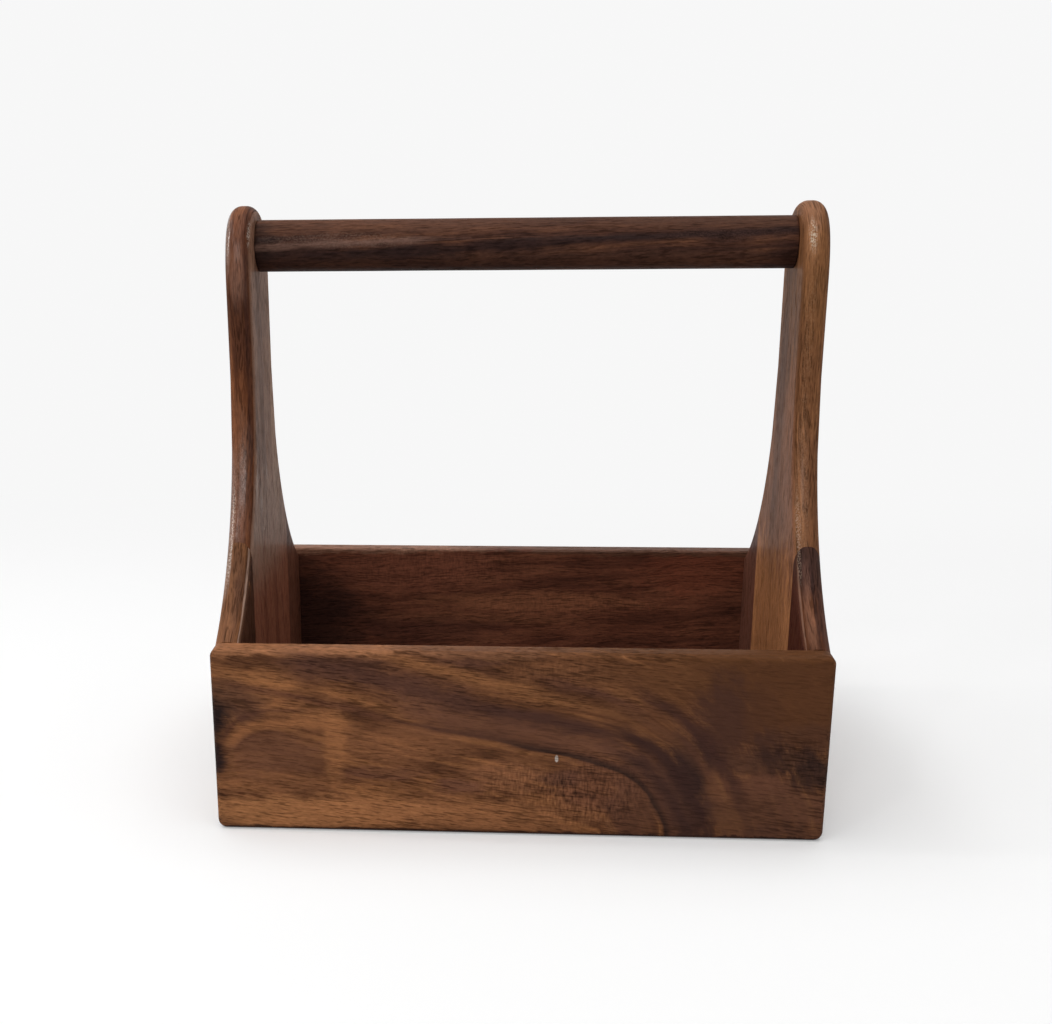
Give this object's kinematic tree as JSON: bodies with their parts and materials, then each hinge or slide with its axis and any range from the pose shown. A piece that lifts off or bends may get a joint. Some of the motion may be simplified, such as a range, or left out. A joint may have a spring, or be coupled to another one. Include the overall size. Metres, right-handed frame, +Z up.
{
  "type": "cutlery caddy",
  "caption": "Open wooden cutlery caddy: a rectangular box with sweeping shaped ends joined at the top by a round carrying handle.",
  "frame": {"origin": "on the ground, under the middle of the caddy", "axes": "+X along the handle to the right, +Y from the front panel to the back panel, +Z up"},
  "size_m": [0.3, 0.22, 0.3],
  "materials": {
    "panel_wood": "satin",
    "dark_stave_wood": "satin",
    "red_stave_wood": "satin",
    "tan_stave_wood": "satin",
    "handle_wood": "satin",
    "pin_wood": "raw"
  },
  "bodies": {
    "root": {"front_panel": "panel_wood", "back_panel": "panel_wood", "floor_panel": "panel_wood", "handle": "handle_wood", "left_front_stave": "tan_stave_wood", "left_middle_stave": "red_stave_wood", "left_back_stave": "dark_stave_wood", "right_front_stave": "red_stave_wood", "right_middle_stave": "tan_stave_wood", "right_back_stave": "dark_stave_wood", "left_front_pin_low": "pin_wood", "left_front_pin_middle": "pin_wood", "left_front_pin_high": "pin_wood", "left_back_pin_low": "pin_wood", "left_back_pin_middle": "pin_wood", "left_back_pin_high": "pin_wood", "right_front_pin_low": "pin_wood", "right_front_pin_middle": "pin_wood", "right_front_pin_high": "pin_wood", "right_back_pin_low": "pin_wood", "right_back_pin_middle": "pin_wood", "right_back_pin_high": "pin_wood"}
  },
  "joints": []
}
